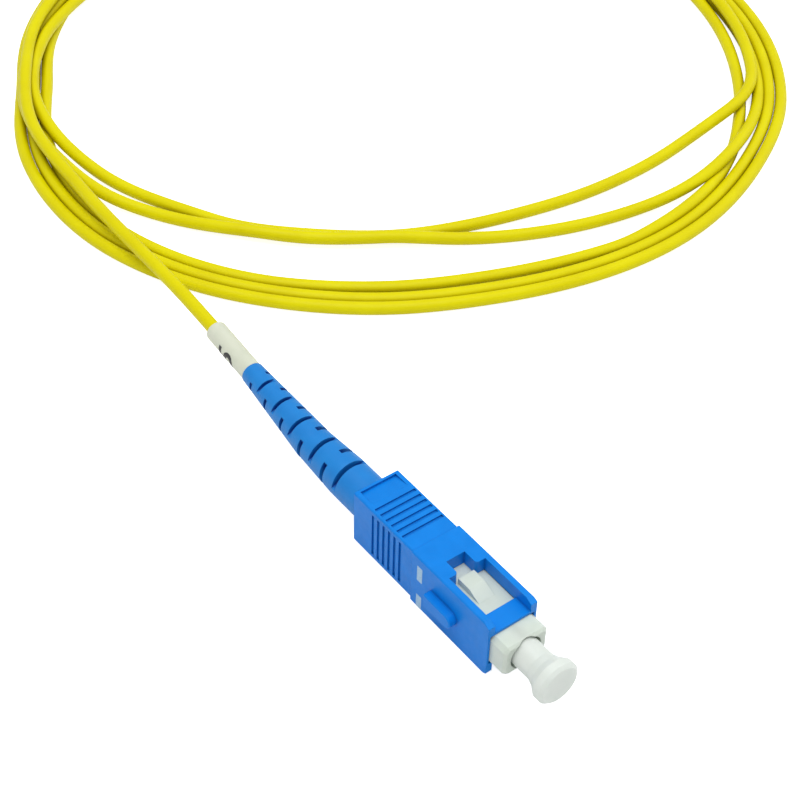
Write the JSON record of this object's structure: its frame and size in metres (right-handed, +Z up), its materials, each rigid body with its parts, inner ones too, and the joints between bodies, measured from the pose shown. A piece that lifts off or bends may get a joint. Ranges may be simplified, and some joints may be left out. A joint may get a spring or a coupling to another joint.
{
  "type": "simplex fibre connector",
  "caption": "Push-pull simplex fibre plug with a sliding blue grip housing, sprung ceramic ferrule, dust cap, slotted bend relief and a coiled yellow lead.",
  "frame": {"origin": "on the optical axis, 0.6 mm behind the front edge of the grip housing", "axes": "+Y from the ferrule towards the lead, +Z up out of a windowed face while the plug lies on the other one, +X away from the key; the ferrule points along -Y"},
  "size_m": [0.137, 0.1886, 0.009],
  "materials": {
    "housing_blue": "fine satin moulding",
    "frame_white": "satin",
    "zirconia": "polished ceramic",
    "glass": "polished",
    "nickel": "nickel-plated, turned",
    "spring_steel": "drawn wire",
    "tube_natural": "natural, slightly cloudy",
    "aramid": "loose yarn",
    "crimp_metal": "crimped, satin",
    "buffer_white": "satin",
    "jacket_yellow": "satin cable jacket",
    "boot_blue": "soft moulding",
    "cap_clear_white": "soft, slightly translucent",
    "sleeve_white": "smooth"
  },
  "bodies": {
    "core": {"plug_frame": "frame_white", "stop_ring": "nickel", "guide_tube": "tube_natural", "aramid_yarn": "aramid", "crimp_ring": "crimp_metal", "tight_buffer": "buffer_white", "cable_jacket": "jacket_yellow", "boot": "boot_blue", "marker_sleeve": "sleeve_white", "cord_lead": "jacket_yellow", "cord_coil": "jacket_yellow"},
    "grip": {"grip_housing": "housing_blue"},
    "ferrule_body": {"ferrule": "zirconia", "glass_fibre": "glass", "ferrule_flange": "nickel", "ferrule_spring": "spring_steel"},
    "cap": {"dust_cap": "cap_clear_white"}
  },
  "joints": [
    {"name": "grip_slide", "type": "slide", "parent": "core", "child": "grip", "axis": [0, 1, 0], "range_m": [0, 0.0018]},
    {"name": "ferrule_float", "type": "slide", "parent": "core", "child": "ferrule_body", "axis": [0, 1, 0], "range_m": [0, 0.001], "stiffness_N_per_m": 1500, "deforming": ["ferrule_spring"]},
    {"name": "cap_pull", "type": "slide", "parent": "ferrule_body", "child": "cap", "axis": [0, -1, 0], "range_m": [0, 0.012]}
  ]
}
